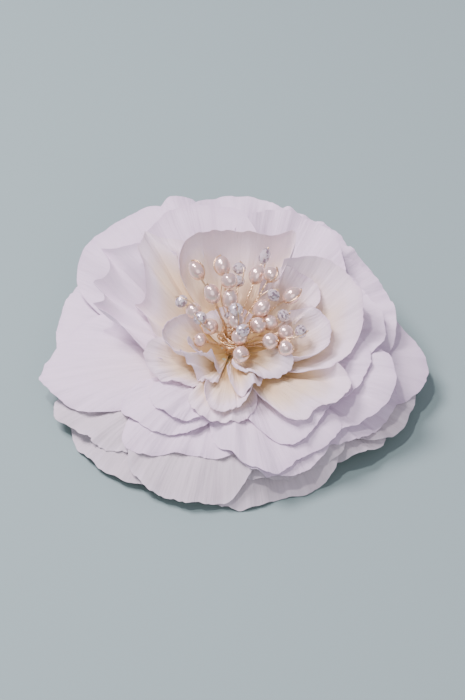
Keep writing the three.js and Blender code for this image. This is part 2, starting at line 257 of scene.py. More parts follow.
def moulded_polythene():
    """Moulded polythene: waxy and pale green, with flow marks about 5.5 mm apart."""
    material, tree, shader = new_material(
        "moulded_green_polythene",
        {"Roughness": 0.45, "IOR": 1.51, "Subsurface Weight": 0.2, "Subsurface Scale": 0.002},
    )
    place = node(tree, "ShaderNodeTexCoord").outputs["Object"]
    flow = node(
        tree, "ShaderNodeTexNoise", {"Vector": place}, {"Scale": spaced(5.56), "Detail": 2.0}
    )
    colour = node(
        tree,
        "ShaderNodeValToRGB",
        {"Fac": flow.outputs["Fac"]},
        stops=[(0.35, "#C3CCA8"), (0.65, "#D6DCC2")],
    )
    bump = node(
        tree,
        "ShaderNodeBump",
        {"Height": flow.outputs["Fac"]},
        {"Strength": 0.15, "Distance": 0.1 * MM},
    )
    join(tree, shader, {"Base Color": colour.outputs["Color"], "Normal": bump.outputs["Normal"]})
    return material


def nickel_plated_steel():
    """Nickel-plated spring steel: bright, with rolling marks 0.25 mm apart along the strip."""
    material, tree, shader = new_material("nickel_plated_spring_steel", {"Metallic": 1.0})
    place = node(tree, "ShaderNodeTexCoord").outputs["Object"]
    along = node(
        tree,
        "ShaderNodeMapping",
        {"Vector": place},
        {"Scale": (spaced(16.7), spaced(0.25), spaced(0.25))},
    )
    marks = node(
        tree,
        "ShaderNodeTexNoise",
        {"Vector": along.outputs["Vector"]},
        {"Scale": 1.0, "Detail": 3.0},
    )
    rough = node(
        tree,
        "ShaderNodeMapRange",
        {"Value": marks.outputs["Fac"]},
        {"To Min": 0.16, "To Max": 0.4},
    )
    colour = node(
        tree,
        "ShaderNodeValToRGB",
        {"Fac": marks.outputs["Fac"]},
        stops=[(0.3, "#B7B6B2"), (0.7, "#CFCECB")],
    )
    bump = node(
        tree,
        "ShaderNodeBump",
        {"Height": marks.outputs["Fac"]},
        {"Strength": 0.1, "Distance": 0.05 * MM},
    )
    join(
        tree,
        shader,
        {
            "Base Color": colour.outputs["Color"],
            "Roughness": rough.outputs["Result"],
            "Normal": bump.outputs["Normal"],
        },
    )
    return material


def mottled(name, values, colours, patch, rough_range):
    """A finish whose colour and roughness drift together in patches this many mm across."""
    material, tree, shader = new_material(name, values)
    place = node(tree, "ShaderNodeTexCoord").outputs["Object"]
    cloud = node(
        tree, "ShaderNodeTexNoise", {"Vector": place}, {"Scale": spaced(patch), "Detail": 2.0}
    )
    colour = node(tree, "ShaderNodeValToRGB", {"Fac": cloud.outputs["Fac"]}, stops=colours)
    rough = node(
        tree,
        "ShaderNodeMapRange",
        {"Value": cloud.outputs["Fac"]},
        {"To Min": rough_range[0], "To Max": rough_range[1]},
    )
    join(
        tree,
        shader,
        {"Base Color": colour.outputs["Color"], "Roughness": rough.outputs["Result"]},
    )
    return material


def gilt_craft_wire():
    """Gilt copper craft wire: soft gold, duller in patches about 1 mm long where the drawing
    die scored it."""
    return mottled(
        "gilt_copper_wire",
        {"Metallic": 1.0},
        [(0.3, "#D6B47C"), (0.7, "#F0DCB4")],
        1.11,
        (0.22, 0.38),
    )


def freshwater_pearl():
    """Freshwater pearl: creamy pink nacre under a clear gloss. The metallic share gives the
    mirror depth of nacre, and it is clouded in patches about 2.4 mm across."""
    return mottled(
        "freshwater_pearl_nacre",
        {
            "Metallic": 0.6,
            "Coat Weight": 1.0,
            "Coat Roughness": 0.04,
            "Subsurface Weight": 0.15,
            "Subsurface Scale": 0.001,
            "Subsurface Radius": (1.0, 0.7, 0.55),
        },
        [(0.3, "#F4D3BE"), (0.7, "#FFF0E0")],
        2.38,
        (0.12, 0.26),
    )


def cut_crystal():
    """Lead crystal, machine cut and polished: clear and bright, with painted dark reflections in
    patches about 0.7 mm across, standing in for facets that turn the light away, and a faint bloom
    in patches of 3.3 mm."""
    material, tree, shader = new_material(
        "cut_lead_crystal",
        {
            "Metallic": 0.12,
            "IOR": 1.6,
            "Transmission Weight": 0.5,
            "Coat Weight": 1.0,
            "Coat Roughness": 0.01,
        },
    )
    place = node(tree, "ShaderNodeTexCoord").outputs["Object"]
    bloom = node(
        tree, "ShaderNodeTexNoise", {"Vector": place}, {"Scale": spaced(3.33), "Detail": 1.0}
    )
    rough = node(
        tree,
        "ShaderNodeMapRange",
        {"Value": bloom.outputs["Fac"]},
        {"To Min": 0.0, "To Max": 0.04},
    )
    # painted reflection: random cells of the base colour are darkened to stand in for facets that
    # mirror dark surroundings
    painted_dark_reflections = node(tree, "ShaderNodeTexVoronoi", {"Vector": place}, {"Scale": spaced(0.667)})
    colour = node(
        tree,
        "ShaderNodeValToRGB",
        {"Fac": painted_dark_reflections.outputs["Color"]},
        stops=[(0.27, "#9F95A0"), (0.38, "#FFFFFF")],
    )
    join(
        tree,
        shader,
        {"Base Color": colour.outputs["Color"], "Roughness": rough.outputs["Result"]},
    )
    return material


# the bottom layers' cloth is ivory, greyed all over and darkest in its middle with painted shade
# from the layers above, and its veins are painted darker still
LOWER_CLOTH_PAINTED_SHADE = petal_cloth(
    "ivory_petal_polyester_painted_shade", "#D9D2BE", "#DAD6CF", "#E0DCDB", "#E9E5E7", vein=0.87
)
OUTER_CLOTH = petal_cloth("white_petal_polyester", "#F3E6D4", "#F4E8EE", "#F5E9F5", "#EADBEC")
# the top layers' cloth is cream; its tan foot is partly dye and partly painted shade and bounce
# light in the pocket round the hub
INNER_CLOTH_PAINTED_SHADE = petal_cloth(
    "cream_petal_polyester_painted_shade", "#DDBC72", "#F5E4BE", "#F8EEF0", "#EADAE6", fade=0.63
)
FELT = pressed_felt()
POLYTHENE = moulded_polythene()
STEEL = nickel_plated_steel()
GILT = gilt_craft_wire()
NACRE = freshwater_pearl()
CRYSTAL = cut_crystal()


# ---------------------------------------------------------------- shared mesh steps
def finish_piece(name, bm, material, stands_for, body=BODY, smooth=True):
    """Makes a piece of a bmesh, rides it on a body and hides the CAD node it stands for."""
    mesh = bpy.data.meshes.new(name)
    bm.to_mesh(mesh)
    bm.free()
    mesh.polygons.foreach_set("use_smooth", [smooth] * len(mesh.polygons))
    mesh.materials.append(material)
    piece = bpy.data.objects.new(name, mesh)
    bpy.context.scene.collection.objects.link(piece)
    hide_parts(stands_for)
    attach(piece, body)
    return piece


def wire_piece(name, wires, radius, material, stands_for, body):
    """A piece of round wire of this radius along each list of points."""
    curve = bpy.data.curves.new(name, "CURVE")
    curve.dimensions = "3D"
    curve.bevel_depth = radius
    curve.bevel_resolution = 3
    curve.use_fill_caps = True
    curve.materials.append(material)
    for points in wires:
        spline = curve.splines.new("POLY")
        spline.points.add(len(points) - 1)
        for knot, point in zip(spline.points, points):
            knot.co = (*point, 1)
    piece = bpy.data.objects.new(name, curve)
    bpy.context.scene.collection.objects.link(piece)
    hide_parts(stands_for)
    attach(piece, body)


def bevel(bm, geom, offset, segments, affect="EDGES", clamp=False):
    """Rounds edges or corners by an offset; clamp stops it where two roundings would meet."""
    bmesh.ops.bevel(
        bm,
        geom=geom,
        offset=offset,
        segments=segments,
        profile=0.5,
        affect=affect,
        material=-1,
        clamp_overlap=clamp,
    )


def thicken(bm, thickness):
    """Turns an open sheet into a closed wall."""
    bmesh.ops.recalc_face_normals(bm, faces=bm.faces)
    bmesh.ops.solidify(bm, geom=bm.faces[:], thickness=thickness)
    bmesh.ops.recalc_face_normals(bm, faces=bm.faces)


CUT_ANGLE = 0.9  # radians; a cut edge of cloth or felt turns by more than this


def cut_edges(bm):
    """The edges where a sheet was cut."""
    return [edge for edge in bm.edges if edge.calc_face_angle() > CUT_ANGLE]


# ---------------------------------------------------------------- petals
ACROSS = 60  # quads across a petal
ALONG = 40  # quads from its foot to its rim
CLOTH = 0.14  # mm
STACK_GAP = 0.3  # mm from the face below to a petal resting on it
TABLE_GAP = 0.1  # mm from the table to the lowest cloth
ABOVE = 200  # mm, clear of the whole flower
FOOT = 4.4  # mm from the hub's axis to a petal's foot
TOP_FOOT = 1.2  # and in the top layer, which closes over the hub
TOP_LIFT = 0.5  # mm that the top layer stands over its place on the hub
WAIST = 0.7  # share of its spread that a petal has at its foot
SHOULDER = 0.12  # share of its reach that a petal loses at its sides
TIP = 0.78  # share of a petal's length where its rim starts to curl or cup
CURL_IN, CUP_IN, CUP_UP = 0.35, 1.8, 0.8  # how far a curl or cup draws the rim in, and a cup up
PINCH_WIDTH = 0.16  # share of half a petal's spread
UV_STEP, UV_LAYER_STEP = 1.7, 0.37  # give each petal its own part of the cloth's pattern
# uneven waves: each one's height, its pace and the row of noise it is read from
FRAY_WAVES = [(1.6, 2.2, 0), (1.1, 7, 5), (0.7, 26, 9)]
RUFFLE_WAVES = [(2.4, 0.9, 13), (1.0, 2.6, 17)]
# creases all over a petal: height in mm, pace across, pace along and seed step
CREASES = [(0.85, 6, 1.4, 3.1), (0.35, 17, 5, 2.3), (1.8, 2.1, 2.3, 1.9)]


class Petal(NamedTuple):
    """A petal's shape. Reach and rim are evenly spaced round its rim, in mm."""

    at: float  # azimuth of its middle, degrees from +X, counter-clockwise from above
    half: float  # half its spread in degrees
    reach: tuple  # from the hub's axis to the rim
    rim: tuple  # height of the rim
    bow: float = 0.0  # how far it swells above a straight line from foot to rim
    ruffle: float = 0.8  # height of the rim's uneven waves
    waves: float = 2  # about how many of them
    curl: float = 0.5  # how far the rim's last stretch turns down
    cup: float = 0.0  # how far it turns up and inwards instead
    fray: float = 0.4  # unevenness of the cut edge
    tips: tuple = ()  # points standing out of the rim: (place from -1 to 1, length, width)
    pinch: float = 0.0  # depth of a fold down its middle; below 0 it is a ridge


PETALS = [
    [  # bottom layer, flat on the table
        Petal(88, 36, (50, 53, 50), (3, 3, 3), bow=6),
        Petal(152, 34, (48, 52, 48), (3, 3, 3), bow=6),
        Petal(22, 32, (50, 53, 54, 50), (5, 4, 3, 3), bow=6),
        Petal(
            335, 29, (38, 45, 50, 50, 52, 49), (4, 4, 4.5, 5.5, 7, 7),
            bow=5, ruffle=1.5, waves=3,
        ),
        Petal(216, 34, (46, 51, 50.5, 47, 41), (4, 2.4, 2.4, 3, 3), bow=5),
        Petal(
            287, 37, (38, 44, 46, 43.5, 45, 45, 40), (3, 2, 1.6, 1.8, 2.2, 3, 4),
            bow=5, ruffle=1, waves=3,
        ),
    ],
    [
        Petal(112, 36, (50, 53, 50), (13, 13, 13), bow=3),
        Petal(46, 36, (52, 55, 56, 50), (9, 11, 13, 13), bow=3),
        Petal(157, 28, (50, 54, 55, 53, 49), (14, 12, 10, 8, 8), bow=3),
        Petal(352, 30, (46, 53, 55, 54, 50), (6, 6, 6.5, 8, 9), bow=4, ruffle=1.2, waves=3),
        Petal(207, 26, (50, 54.5, 51, 47.5, 43, 36), (8, 6, 6, 6, 7.5, 8), bow=4, fray=0.7),
        Petal(
            295, 31, (31, 38.5, 41.5, 41, 41.5, 45, 42), (8, 6.5, 6, 6, 6.5, 7.5, 8),
            bow=3.5, ruffle=1.2, waves=4,
        ),
        Petal(250, 34, (36, 45, 48, 48, 46, 43, 36), (6, 5, 4.4, 4, 4, 4.5, 5), bow=4, fray=0.7),
    ],
    [
        Petal(152, 28, (54, 57, 60, 57.5, 54, 52), (22, 17, 12.5, 10.5, 10, 9), bow=1.5),
        Petal(
            112, 29, (51, 55, 59.5, 56, 54, 50), (29, 30, 31, 28, 26, 23),
            bow=1, ruffle=1.5, waves=3,
        ),
        Petal(63, 26, (50, 55, 57, 56, 52), (21, 23, 26, 28, 28), bow=1, ruffle=1.4, waves=3),
        Petal(38, 25, (46, 52, 54.5, 54, 50), (12, 16, 20, 22, 24), bow=1.5, ruffle=1.2, waves=2.5),
        Petal(
            5, 30, (44, 51.5, 58.5, 57, 53, 48), (8, 8, 8.5, 10, 12, 14),
            bow=3, ruffle=1.2, waves=3,
        ),
        Petal(332, 28, (38, 44, 48, 50, 48), (8, 8.5, 9, 10, 11), bow=2.5, ruffle=1.4, waves=4),
        Petal(245, 35, (36, 43, 40.5, 36, 35, 35, 29), (8, 8, 8, 8.3, 8.5, 9, 10), bow=2.5),
        Petal(293, 28, (33, 40, 43, 43, 40), (9, 9, 9, 9, 9), bow=2.5, ruffle=1.1, waves=3),
    ],
    [
        Petal(84, 31, (46, 52, 55.5, 54, 48), (29, 31, 31, 30.5, 30), bow=-1, ruffle=1.1),
        Petal(
            131, 24, (48, 56, 58.5, 59.5, 60.5, 57, 47), (33, 31.5, 30, 28, 24, 18, 14),
            bow=0, ruffle=0.3, fray=0.2,
        ),
        Petal(24, 28, (44, 50, 53, 53, 48), (13, 16, 19, 21, 23), bow=0, ruffle=1.1),
        Petal(
            181, 32, (42, 50, 54.5, 57.5, 52, 43, 31), (13, 11, 9.5, 9, 9.7, 11, 13),
            bow=2, fray=0.7,
        ),
        Petal(
            335, 32, (29, 40, 43, 48, 49, 45.5, 38), (13, 13, 15, 17.5, 20, 23, 25),
            bow=1, ruffle=0.8, waves=4,
        ),
        Petal(
            287, 37, (23, 32, 38, 43, 41, 43.5, 43), (12, 11, 10.3, 10, 10.5, 10.7, 11),
            bow=1.5, ruffle=0.8, waves=3, fray=0.7,
        ),
        Petal(
            230, 33, (33, 37.5, 36.5, 35, 31.5, 27.5, 22), (14, 13.4, 13, 13, 13.5, 14.5, 15.5),
            bow=2, ruffle=0.3, fray=0.2,
        ),
    ],
    [
        Petal(18, 30, (40, 46, 46, 42), (19, 21, 24, 26), bow=-1),
        Petal(58, 31, (37, 46, 50.5, 48, 42), (24, 29, 31, 34, 35), bow=-2.5, ruffle=1.1),
        Petal(
            109, 32, (38, 45, 48.5, 45, 38), (37, 37.5, 37, 36, 34),
            bow=-3, ruffle=0.5, fray=0.2,
        ),
        Petal(
            158, 35, (36, 38.5, 39, 37.5, 33, 28, 25), (34, 32, 29.5, 26.5, 22.5, 20, 20),
            bow=-2, ruffle=0.6, curl=-2, fray=0.15,
            tips=((-0.4, 10, 0.11), (-0.08, 8.5, 0.11), (0.18, 9, 0.07)),
        ),
        Petal(337, 27, (33, 38, 41, 39), (19, 20, 22, 24), bow=-0.5),
        Petal(298, 30, (17, 27, 36.5, 37, 33), (18, 17, 15.5, 16, 18), bow=0),
        Petal(236, 30, (29, 30, 29, 26, 22), (17.5, 16.5, 16, 16.5, 17), bow=0.5, ruffle=0.4),
    ],
    [
        Petal(
            143, 34, (31, 37, 37, 32, 28, 25, 22), (35, 34.5, 32.5, 28.5, 25, 22, 20.5),
            bow=-3, ruffle=0.5, curl=-0.6, fray=0.15,
            tips=((-0.4, 4, 0.14), (-0.15, 4, 0.09), (0.35, 5.5, 0.08)),
        ),
        Petal(
            88, 42, (26, 37.5, 33, 32, 32.3, 32.8, 32, 33, 31),
            (35, 40.5, 39, 39, 39.5, 39.5, 38.8, 37.5, 35),
            bow=-4, ruffle=0.3, cup=1.6, curl=0, fray=0.2,
        ),
        Petal(206, 32, (23, 26.5, 24.5, 19.5, 15), (24, 23, 20.5, 18.5, 18.5), bow=-1, ruffle=0.4),
        Petal(262, 31, (22, 26, 27, 26, 21), (18.5, 18, 17.8, 18, 18.5), bow=-0.5),
        Petal(
            316, 25, (20, 33, 35.5, 39, 36), (20, 18.5, 20.5, 20.5, 24),
            bow=-1.5, ruffle=0.9, curl=-0.6, fray=0.7,
        ),
        Petal(
            8, 43, (20, 32, 36.5, 39, 38.5, 35.5, 28), (22, 24.5, 27.5, 31, 34.5, 37, 38),
            bow=-3.5, ruffle=0.6, waves=3, fray=0.5,
        ),
    ],
    [
        Petal(95, 44, (14, 15, 14), (23, 23, 23), bow=-3, ruffle=0.4),
        Petal(
            35, 24, (23, 28.5, 29.5, 25, 19), (29, 31.5, 33, 34, 34),
            bow=-4, ruffle=0.3, fray=0.15,
        ),
        Petal(183, 30, (15, 20, 22.5, 20, 14), (29, 30, 28.5, 26, 24), bow=-3, ruffle=0.6, cup=0.8),
        Petal(357, 26, (19, 28, 30, 28, 22), (24, 26, 28, 29.5, 30), bow=-3, ruffle=0.4, cup=0.5),
        Petal(
            268, 27, (18, 24, 24.5, 22, 16), (20.5, 19.5, 19.5, 20.5, 22),
            bow=-1.5, ruffle=0.9, curl=-0.8,
        ),
        Petal(
            224, 28, (17.5, 16.5, 15.5, 15.8, 16), (23.5, 23.5, 23, 21.5, 20),
            bow=-3, ruffle=1.3, waves=3, curl=0.8, fray=0.2,
        ),
        Petal(
            222, 29, (15, 12.5, 11.5, 10.5, 12.5), (26, 26.5, 26.5, 26, 23),
            bow=-4, ruffle=1.2, waves=3, fray=0.2,
        ),
        Petal(
            284, 24, (10, 17, 20, 18, 15), (23, 21, 19.5, 20, 21),
            bow=-1, ruffle=0.4, pinch=-2.4, curl=0.2,
        ),
        Petal(
            305, 36, (8, 12, 15, 17, 19, 21, 20), (22.5, 22.5, 22.5, 23, 23.5, 24, 25),
            bow=0.5, ruffle=0.5, curl=1.2, fray=0.6,
        ),
    ],
]


def through(values, u):
    """The smooth curve through values spaced evenly from -1 to 1."""
    first, last = 2 * values[0] - values[1], 2 * values[-1] - values[-2]
    knots = np.array([first, *values, last], dtype=float)
    place = (u + 1) / 2 * (len(values) - 1)
    k = np.clip(np.floor(place).astype(int), 0, len(values) - 2)
    t = place - k
    a, b, c, d = knots[k], knots[k + 1], knots[k + 2], knots[k + 3]
    return b + 0.5 * t * (c - a + t * (2 * a - 5 * b + 4 * c - d + t * (3 * (b - c) + d - a)))


def wander(u, pace, seed, row):
    """Uneven heights along u, about one wave to each 1 / pace of it."""
    return np.array([[noise.noise(Vector((pace * place, seed, row))) for place in u[0]]])


def crumple(u, v, across, along, seed):
    """Uneven heights over a petal, with its waves' paces across and along it."""
    return np.array(
        [[noise.noise(Vector((across * a, along * b, seed))) for a in u[0]] for b in v[:, 0]]
    )


def petal_points(shape, layer, seed):
    """A petal's own resting shape in mm from the hub's axis, in ALONG + 1 rows from its foot to
    its rim."""
    u = np.linspace(-1, 1, ACROSS + 1)[None, :]
    v = np.linspace(0, 1, ALONG + 1)[:, None]
    top = layer == LAYERS - 1

    edge = sum(tall * wander(u, pace, seed, row) for tall, pace, row in FRAY_WAVES)
    reach = through(shape.reach, u) * (1 - SHOULDER * np.abs(u) ** 8) + shape.fray * edge
    for place, length, width in shape.tips:
        reach = reach + length * np.exp(-np.abs(u - place) / width)
    foot = TOP_FOOT if top else FOOT
    spread = shape.half * (WAIST + (1 - WAIST) * np.sqrt(v))
    turn = np.radians(shape.at + spread * u)
    tip = np.clip((v - TIP) / (1 - TIP), 0, 1) ** 2
    radius = foot + (reach - foot) * v - (CURL_IN * abs(shape.curl) + CUP_IN * shape.cup) * tip

    seat = (FIRST_LAYER + layer * (HUB_TOP - FIRST_LAYER) / (LAYERS - 1)) / MM + TOP_LIFT * top
    height = seat + (through(shape.rim, u) - seat) * v + shape.bow * 4 * v * (1 - v)
    sway = sum(
        tall * wander(u, pace * shape.waves, seed, row) for tall, pace, row in RUFFLE_WAVES
    )
    height = height + shape.ruffle * v**2.6 * sway
    height = height + (CUP_UP * shape.cup - shape.curl) * tip
    height = height - shape.pinch * v * np.exp(-((u / PINCH_WIDTH) ** 2))
    creases = sum(
        tall * crumple(u, v, across, along, seed * step) for tall, across, along, step in CREASES
    )
    height = height + creases * v
    return np.stack([radius * np.cos(turn), radius * np.sin(turn), height], axis=2)


def neighbours(values, reach):
    """The grid shifted every way by up to reach steps, its edges held."""
    rows, columns = values.shape
    padded = np.pad(values, reach, mode="edge")
    span = range(2 * reach + 1)
    return [padded[a : a + rows, b : b + columns] for a in span for b in span]


def spread_lift(lift):
    """Widens and smooths a lift so that cloth bridges what holds it up instead of creasing."""
    wide = np.max(neighbours(lift, 3), axis=0)
    for _ in range(3):
        wide = np.mean(neighbours(wide, 2), axis=0)
    return np.maximum(lift, wide)


def rest_on(points, pile):
    """Lifts a petal over the table and everything piled up below it."""
    places = [vert.co for vert in pile.verts]
    quads = [[vert.index for vert in face.verts] for face in pile.faces]
    laid = BVHTree.FromPolygons(places, quads) if quads else None
    lift = np.zeros(points.shape[:2])
    for index in np.ndindex(lift.shape):
        x, y, z = points[index]
        under = CLOTH + TABLE_GAP
        hit = laid.ray_cast(Vector((x, y, ABOVE)), -UP)[0] if laid else None
        if hit:
            under = max(under, hit.z + STACK_GAP)
        lift[index] = max(0, under - z)
    points[:, :, 2] += spread_lift(lift)


def lay_grid(bm, points):
    """A grid with its knots at points; returns its vertices with each one's column and row."""
    knots = {}
    for vert in bmesh.ops.create_grid(bm, x_segments=ACROSS, y_segments=ALONG, size=1)["verts"]:
        column = round((vert.co.x + 1) / 2 * ACROSS)
        row = round((vert.co.y + 1) / 2 * ALONG)
        vert.co = points[row, column]
        knots[vert] = (column, row)
    return knots


def grid_area(points):
    """The area of a grid of points, in square mm."""
    a, b = points[1:, :-1] - points[:-1, :-1], points[:-1, 1:] - points[:-1, :-1]
    c, d = points[1:, :-1] - points[1:, 1:], points[:-1, 1:] - points[1:, 1:]
    triangles = np.linalg.norm(np.cross(a, b), axis=2) + np.linalg.norm(np.cross(c, d), axis=2)
    return triangles.sum() / 2


def lay_layer(layer, shapes, pile):
    """Lays one layer's petals on the pile, as one piece of cloth."""
    bm = bmesh.new()
    uv = bm.loops.layers.uv.new("petal")
    area = width = length = 0.0
    for number, shape in enumerate(shapes):
        points = petal_points(shape, layer, layer * 10 + number + 0.5)
        rest_on(points, pile)
        lay_grid(pile, points)
        pile.verts.index_update()
        knots = lay_grid(bm, points)
        shift = number * UV_STEP + layer * UV_LAYER_STEP
        for vert, (column, row) in knots.items():
            vert.co = AXIS + vert.co * MM
            for loop in vert.link_loops:
                loop[uv].uv = (column / ACROSS + shift, row / ALONG)
        area += grid_area(points)
        width += 2 * max(shape.reach) * math.sin(math.radians(shape.half))
        length = max(length, np.linalg.norm(np.diff(points, axis=0), axis=2).sum(axis=0).max())
    thicken(bm, CLOTH * MM)
    for edge in bm.edges:  # a cut edge stays crisp
        edge.smooth = edge.calc_face_angle() < CUT_ANGLE
    # the bottom layers' cloth carries painted shade, and so does the foot of the top layers' cloth
    if layer < LOWER_LAYERS:
        cloth = LOWER_CLOTH_PAINTED_SHADE
    else:
        cloth = OUTER_CLOTH if layer < WHITE_LAYERS else INNER_CLOTH_PAINTED_SHADE
    piece = finish_piece(f"petals_{layer + 1}", bm, cloth, f"petal_layer_{layer + 1}")


def lay_petals():
    """Lays all the petals from the bottom up, one piece to a layer."""
    pile = bmesh.new()  # every petal laid so far, in mm and without its thickness
    for layer, shapes in enumerate(PETALS):
        lay_layer(layer, shapes, pile)
    pile.free()


lay_petals()

# ---------------------------------------------------------------- spray of beads
# Tips in mm from the hub's axis, each with its beads from the tip inwards.
SPRAY = [
    ((-10.5, 15, 38), ["pearl_1"]),
    ((-6, 6.5, 36.5), ["pearl_2"]),
    ((-3, 18, 37), ["pearl_3"]),
    ((2, 18, 36), ["crystal_1", "crystal_2"]),
    ((-1, 9, 39.5), ["pearl_4", "pearl_5", "crystal_3"]),
    ((1, -0.5, 37), ["crystal_4", "pearl_6"]),
    ((3, -4.8, 32.6), ["crystal_5", "pearl_7"]),
    ((-15, 7, 33), ["crystal_6", "pearl_8"]),
    ((-9.5, 0.5, 32.5), ["crystal_7", "pearl_9"]),
    ((-9.5, -1.5, 25.5), ["pearl_10"]),
    ((9.5, 20, 39), ["crystal_8", "pearl_11"]),
    ((11.5, 12.5, 38.5), ["pearl_12"]),
    ((12, 7.5, 35), ["crystal_9", "pearl_13"]),
    ((17.5, 9.5, 33), ["pearl_14"]),
    ((15, 4, 30), ["crystal_10", "pearl_15"]),
    ((7.5, 0, 30), ["pearl_16"]),
    ((20, -1.5, 29), ["crystal_11", "pearl_17"]),
    ((11, -5, 28.5), ["pearl_18"]),
    ((15.5, -6, 26.5), ["pearl_19"]),
    ((2.5, -8, 26), ["pearl_20"]),
]
TRUNK = 1.2 * MM  # radius of the bundle where the stems leave the hub
ROOT = 8 * MM  # how far the stems reach down into the hub
FREE = 0.3 * MM  # below the hub's top, where a stem starts to lean
BEND = 0.3  # share of a stem's length that it rises before it leans out
STRAND = 0.175 * MM  # radius of one wire
TWIST_PITCH = 2.2 * MM
WOBBLE = 1.1 * MM  # how far a hand-bent stem strays from a smooth bend
NECK = 0.3 * MM  # bare stem left below its beads
KNOT = 0.45 * MM  # wire standing past its last bead
STEM_STEPS, LOOP_STEPS = 44, 12  # straight lengths of wire below the beads, and round them
BINDING_TURNS, TURN_STEPS = 20, 14
BINDING_RISE = 7.5 * MM
BINDING_SLACK, BINDING_FLARE, BINDING_WAVE = 0.9, 1.3, 0.06  # how uneven and how wide it gets
GOLDEN = 0.618  # spreads the stems evenly over the bundle
FACETS, FACET_ROWS = 9, 8  # on a cut bead
DIMPLE, DIMPLE_WIDTH = 0.1, 0.3  # shares of a pearl's length and radius, where it is drilled
LUMPS = 0.035  # share of its radius by which a pearl is uneven
STAND_PROUD = 1.04  # a pearl's length over its drilled length


def spun(node_name):
    """A bead's centre, the axis it was turned on, its radius and half its length."""
    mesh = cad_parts[node_name].data
    points = np.empty(len(mesh.vertices) * 3)
    mesh.vertices.foreach_get("co", points)
    points = np.unique(points.reshape(-1, 3).round(7), axis=0)
    low, high = node_box(node_name)
    centre = (low + high) / 2
    spreads, directions = np.linalg.eigh(np.cov((points - points.mean(axis=0)).T))
    lone = 0 if spreads[1] - spreads[0] > spreads[2] - spreads[1] else 2
    axis = Vector(directions[:, lone]).normalized()
    offsets = points - np.array(centre)
    along = offsets @ np.array(axis)
    radius = np.sqrt((offsets**2).sum(axis=1) - along**2).max()
    return centre, axis, radius, np.abs(along).max()


def stand(bm, axis, centre):
    """Stands a +Z shape along an axis at a centre."""
    turn = UP.rotation_difference(axis).to_matrix().to_4x4()
    bmesh.ops.transform(bm, matrix=Matrix.Translation(centre) @ turn, verts=bm.verts)


def pearl(name, seed):
    """A slightly uneven pearl, dimpled where it is drilled."""
    centre, axis, radius, half = spun(name)
    bm = bmesh.new()
    bmesh.ops.create_uvsphere(bm, u_segments=28, v_segments=20, radius=1)
    for vert in bm.verts:
        dimple = 1 - DIMPLE * max(0, 1 - vert.co.xy.length / DIMPLE_WIDTH) ** 2
        lump = 1 + LUMPS * noise.noise(vert.co * 1.6 + Vector((seed, 0, 0)))
        tall = half * dimple * STAND_PROUD
        vert.co = Vector((vert.co.x * radius, vert.co.y * radius, vert.co.z * tall)) * lump
    stand(bm, axis, centre)
    finish_piece(f"nacre_{name}", bm, NACRE, name)


def crystal(name):
    """A cut bead: rows of facets, each row turned half a facet from the next."""
    centre, axis, radius, half = spun(name)
    half_facet = Matrix.Rotation(math.pi / FACETS, 3, "Z")
    bm = bmesh.new()
    bmesh.ops.create_uvsphere(bm, u_segments=FACETS, v_segments=FACET_ROWS, radius=1)
    rings = sorted({round(vert.co.z, 4) for vert in bm.verts})
    for ring in rings[::2]:
        around = [vert for vert in bm.verts if abs(vert.co.z - ring) < 1e-3]
        bmesh.ops.rotate(bm, verts=around, cent=(0, 0, 0), matrix=half_facet)
    bmesh.ops.scale(bm, vec=(radius, radius, half), verts=bm.verts)
    bmesh.ops.triangulate(bm, faces=bm.faces)
    stand(bm, axis, centre)
    finish_piece(f"cut_{name}", bm, CRYSTAL, name, smooth=False)


def stem_path(number, tip, beads):
    """A stem's middle line out of the hub and over a soft bend, then its neck below the beads,
    its top and its direction there."""
    end = AXIS + Vector(tip) * MM
    lean = Vector((tip[0], tip[1], 0)).normalized()
    out = TRUNK * math.sqrt((number * GOLDEN + 0.3) % 1)
    base = AXIS + UP * (HUB_TOP - FREE) + lean * out
    bend = base + UP * BEND * (end - base).length
    along = (end - bend).normalized()
    centre, _, _, half = spun(beads[-1])
    neck = centre - along * (half + NECK)
    top = end + along * (spun(beads[0])[3] + KNOT)
    path = [AXIS + UP * (HUB_TOP - ROOT), base - UP * ROOT / 2]
    for i in range(STEM_STEPS + 1):
        t = i / STEM_STEPS
        sway = Vector([noise.noise(Vector((4 * t, number, row))) for row in (0, 7)] + [0])
        smooth = base.lerp(bend, t).lerp(bend.lerp(neck, t), t)
        path.append(smooth + sway * WOBBLE * math.sin(math.pi * t))
    return path, neck, top, along


def stem_wires(number, tip, beads):
    """A stem's two twisted wires: one goes through its beads, and one is looped round them."""
    path, neck, top, along = stem_path(number, tip, beads)
    side = along.orthogonal().normalized()
    across = along.cross(side)
    loop = max(spun(bead)[2] for bead in beads) + STRAND * 1.2
    out = math.cos(number * 2.1) * side + math.sin(number * 2.1) * across
    wires = []
    for strand in (0, 1):
        points = []
        travelled = 0.0
        for last, point in zip([path[0], *path], path):
            travelled += (point - last).length
            turn = 2 * math.pi * travelled / TWIST_PITCH + strand * math.pi + number
            offset = side * math.cos(turn) + across * math.sin(turn)
            points.append(point + offset * STRAND * 1.35)
        for i in range(1, LOOP_STEPS + 1):
            t = i / LOOP_STEPS
            away = loop * math.sin(math.pi * t) ** 0.6 if strand else 0.0
            points.append(neck.lerp(top, t) + out * away)
        wires.append(points)
    return wires


